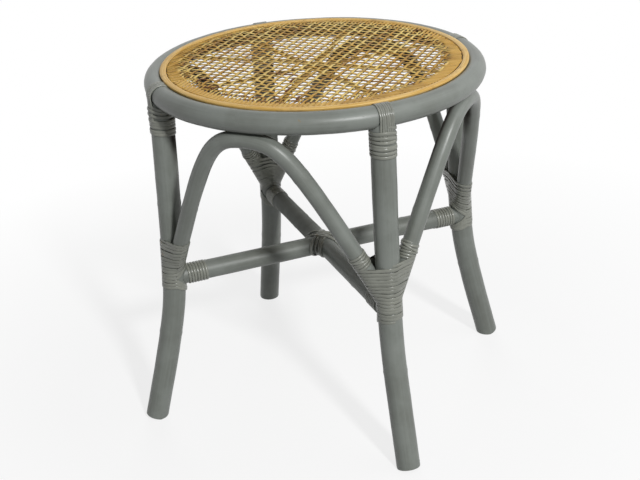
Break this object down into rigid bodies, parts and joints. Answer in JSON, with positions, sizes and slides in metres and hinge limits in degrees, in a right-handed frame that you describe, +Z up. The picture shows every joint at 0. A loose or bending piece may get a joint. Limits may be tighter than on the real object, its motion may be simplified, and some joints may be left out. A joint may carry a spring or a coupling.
{
  "type": "rattan stool",
  "caption": "Round backless stool of bent, painted rattan poles with splayed legs, arched braces, crossed stretchers, wound cane joints and an open caned seat.",
  "frame": {"origin": "on the floor under the middle of the seat", "axes": "+Z up through the seat, legs on the diagonals between +X, +Y, -X and -Y, with the pictured front leg towards +X and -Y"},
  "size_m": [0.422, 0.422, 0.4543],
  "materials": {
    "grey_paint": "satin grey paint on rattan",
    "grey_cane": "satin grey paint on cane strip",
    "natural_cane": "natural glossy cane",
    "steel": "bright wire"
  },
  "bodies": {
    "root": {"seat_hoop": "natural_cane", "seat_webbing": "natural_cane", "seat_bead": "natural_cane", "seat_support_1": "natural_cane", "seat_support_2": "natural_cane", "seat_support_3": "natural_cane", "seat_support_4": "natural_cane", "seat_rim": "grey_paint", "leg_front": "grey_paint", "rim_strap_front": "grey_cane", "leg_top_binding_front": "grey_cane", "joint_binding_front": "grey_cane", "stretcher_end_binding_front": "grey_cane", "leg_screw_front": "steel", "stretcher_nail_front": "steel", "leg_right": "grey_paint", "rim_strap_right": "grey_cane", "leg_top_binding_right": "grey_cane", "joint_binding_right": "grey_cane", "stretcher_end_binding_right": "grey_cane", "leg_screw_right": "steel", "stretcher_nail_right": "steel", "leg_back": "grey_paint", "rim_strap_back": "grey_cane", "leg_top_binding_back": "grey_cane", "joint_binding_back": "grey_cane", "stretcher_end_binding_back": "grey_cane", "leg_screw_back": "steel", "stretcher_nail_back": "steel", "leg_left": "grey_paint", "rim_strap_left": "grey_cane", "leg_top_binding_left": "grey_cane", "joint_binding_left": "grey_cane", "stretcher_end_binding_left": "grey_cane", "leg_screw_left": "steel", "stretcher_nail_left": "steel", "arch_front_right": "grey_paint", "arch_nail_front_right": "steel", "hoop_brad_front_right": "steel", "arch_end_binding_front_to_right": "grey_cane", "arch_right_back": "grey_paint", "arch_nail_right_back": "steel", "hoop_brad_right_back": "steel", "arch_end_binding_back_to_right": "grey_cane", "arch_back_left": "grey_paint", "arch_nail_back_left": "steel", "hoop_brad_back_left": "steel", "arch_end_binding_back_to_left": "grey_cane", "arch_left_front": "grey_paint", "arch_nail_left_front": "steel", "hoop_brad_left_front": "steel", "arch_end_binding_front_to_left": "grey_cane", "stretcher_left_right": "grey_paint", "stretcher_front_back": "grey_paint", "cross_binding": "grey_cane", "cross_nail": "steel"}
  },
  "joints": []
}
